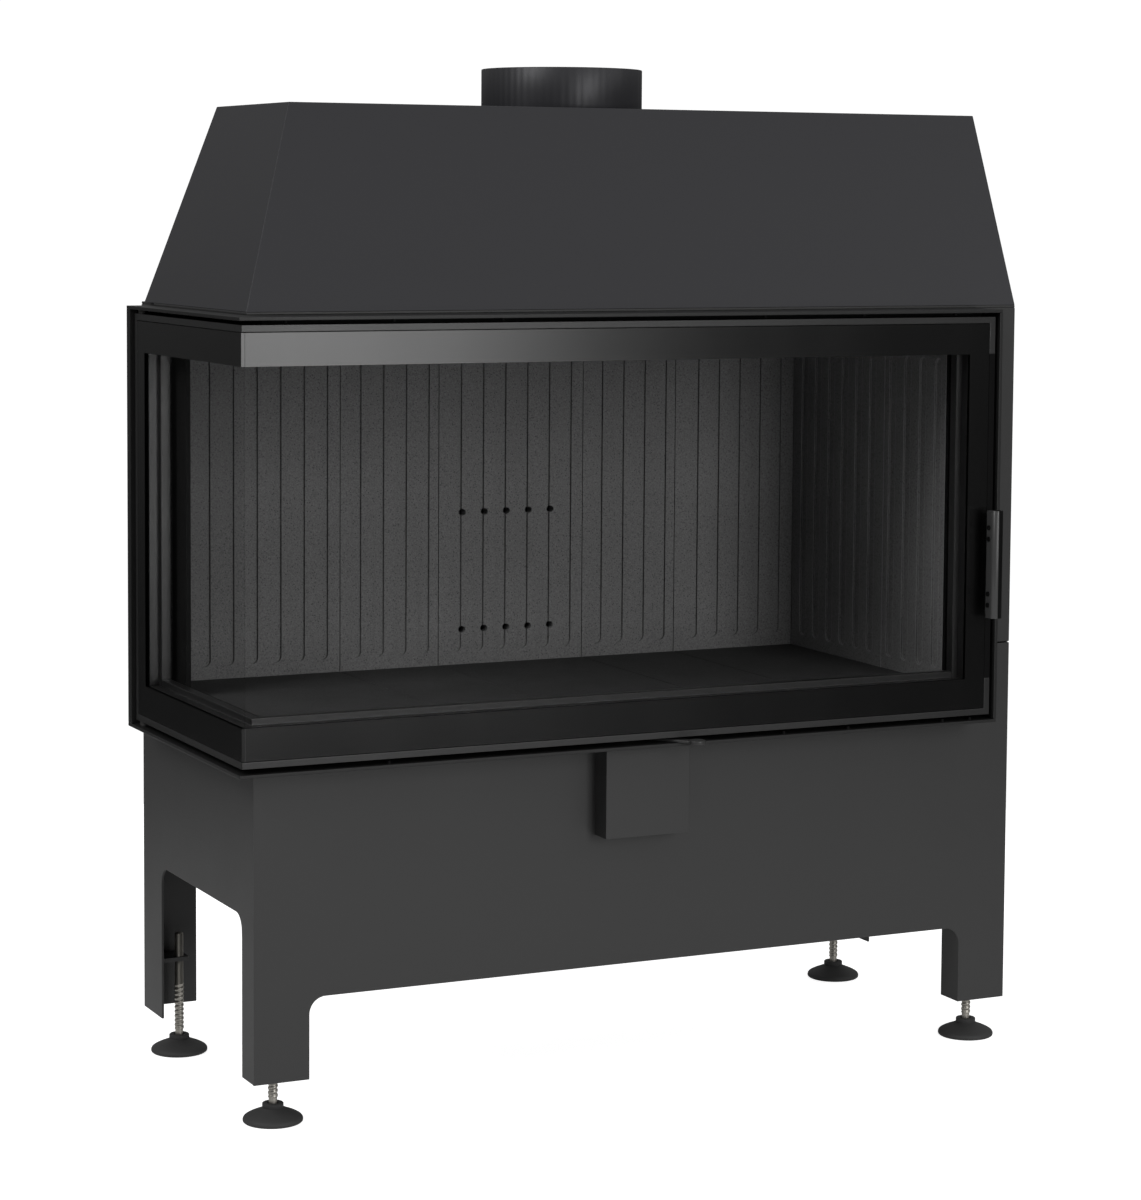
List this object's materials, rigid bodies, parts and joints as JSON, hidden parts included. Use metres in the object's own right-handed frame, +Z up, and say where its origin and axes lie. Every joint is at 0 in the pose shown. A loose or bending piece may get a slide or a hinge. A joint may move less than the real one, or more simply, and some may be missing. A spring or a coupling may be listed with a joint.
{
  "type": "wood burning stove",
  "caption": "Left-corner wood burning stove insert with an L-shaped glazed door, fluted firebox lining, sloped smoke hood with flue collar, and a base on levelling feet.",
  "frame": {"origin": "on the floor, under the middle of the bounding box", "axes": "+Z up, +X to the right of someone facing the large pane, +Y away from them towards the back"},
  "size_m": [1.053, 0.491, 1.226],
  "materials": {
    "black_paint": "matt heat-proof paint",
    "hood_paint": "matt heat-proof paint",
    "handle_steel": "satin heat-proof paint",
    "pane_glass": "clear ceramic glass with a printed black border",
    "fibre_seal": "braided glass fibre",
    "black_sealant": "high-temperature silicone",
    "firebox_lining": "grey cast refractory",
    "zinc_steel": "zinc-plated thread",
    "bare_steel": "dark steel",
    "pad_plastic": "moulded plastic"
  },
  "bodies": {
    "casing": {"air_box_cover": "black_paint", "air_chamber": "black_paint", "air_inlet_spigot": "black_paint", "back_lining_1": "firebox_lining", "back_lining_2": "firebox_lining", "back_lining_3": "firebox_lining", "back_lining_4": "firebox_lining", "back_lining_5": "firebox_lining", "baffle": "firebox_lining", "base_front": "black_paint", "base_left": "black_paint", "base_rear": "black_paint", "base_right": "black_paint", "casing_front_right": "black_paint", "casing_rear": "black_paint", "casing_right": "black_paint", "face_lintel": "black_paint", "face_post_rear": "black_paint", "face_post_right": "black_paint", "face_sill": "black_paint", "firebox_base": "black_paint", "firebox_rear_wall": "black_paint", "firebox_right_wall": "black_paint", "flue_collar": "hood_paint", "foot_brackets": "black_paint", "hearth_plates": "firebox_lining", "hood": "hood_paint", "latch_striker": "bare_steel", "pivot_pins": "bare_steel", "portal_bottom": "black_paint", "portal_rear": "black_paint", "portal_right": "black_paint", "portal_spacers": "black_paint", "portal_top": "black_paint", "right_lining": "firebox_lining", "secondary_air_duct": "black_paint", "top_plate": "black_paint"},
    "door": {"door_rail_bottom": "black_paint", "door_rail_top": "black_paint", "door_stile_right": "black_paint", "door_stile_rear": "black_paint", "front_glass": "pane_glass", "side_glass": "pane_glass", "glass_corner_seal": "black_sealant", "glass_gasket": "fibre_seal", "door_rope_seal": "fibre_seal"},
    "handle": {"handle_arm": "handle_steel", "handle_pin": "bare_steel", "handle_grip": "handle_steel", "handle_screws": "black_paint"},
    "lever": {"air_lever": "handle_steel", "lever_knob": "handle_steel"},
    "foot_front_left": {"foot_rod_front_left": "zinc_steel", "foot_pad_front_left": "pad_plastic"},
    "foot_front_right": {"foot_rod_front_right": "zinc_steel", "foot_pad_front_right": "pad_plastic"},
    "foot_rear_left": {"foot_rod_rear_left": "zinc_steel", "foot_pad_rear_left": "pad_plastic"},
    "foot_rear_right": {"foot_rod_rear_right": "zinc_steel", "foot_pad_rear_right": "pad_plastic"}
  },
  "joints": [
    {"name": "door_hinge", "type": "hinge", "parent": "casing", "child": "door", "pos_m": [-0.5125, 0.16, 0.677], "axis": [0, 0, -1], "range_deg": [0, 90]},
    {"name": "handle_turn", "type": "hinge", "parent": "door", "child": "handle", "pos_m": [0.4575, -0.206, 0.62], "axis": [0, 0, 1], "range_deg": [0, 25]},
    {"name": "lever_turn", "type": "hinge", "parent": "casing", "child": "lever", "pos_m": [-0.0235, -0.146, 0.426], "axis": [0, 0, 1], "range_deg": [-76, 0]},
    {"name": "screw_front_left", "type": "slide", "parent": "casing", "child": "foot_front_left", "axis": [0, 0, 1], "range_m": [-0.03, 0.02]},
    {"name": "screw_front_right", "type": "slide", "parent": "casing", "child": "foot_front_right", "axis": [0, 0, 1], "range_m": [-0.03, 0.02]},
    {"name": "screw_rear_left", "type": "slide", "parent": "casing", "child": "foot_rear_left", "axis": [0, 0, 1], "range_m": [-0.03, 0.02]},
    {"name": "screw_rear_right", "type": "slide", "parent": "casing", "child": "foot_rear_right", "axis": [0, 0, 1], "range_m": [-0.03, 0.02]}
  ]
}
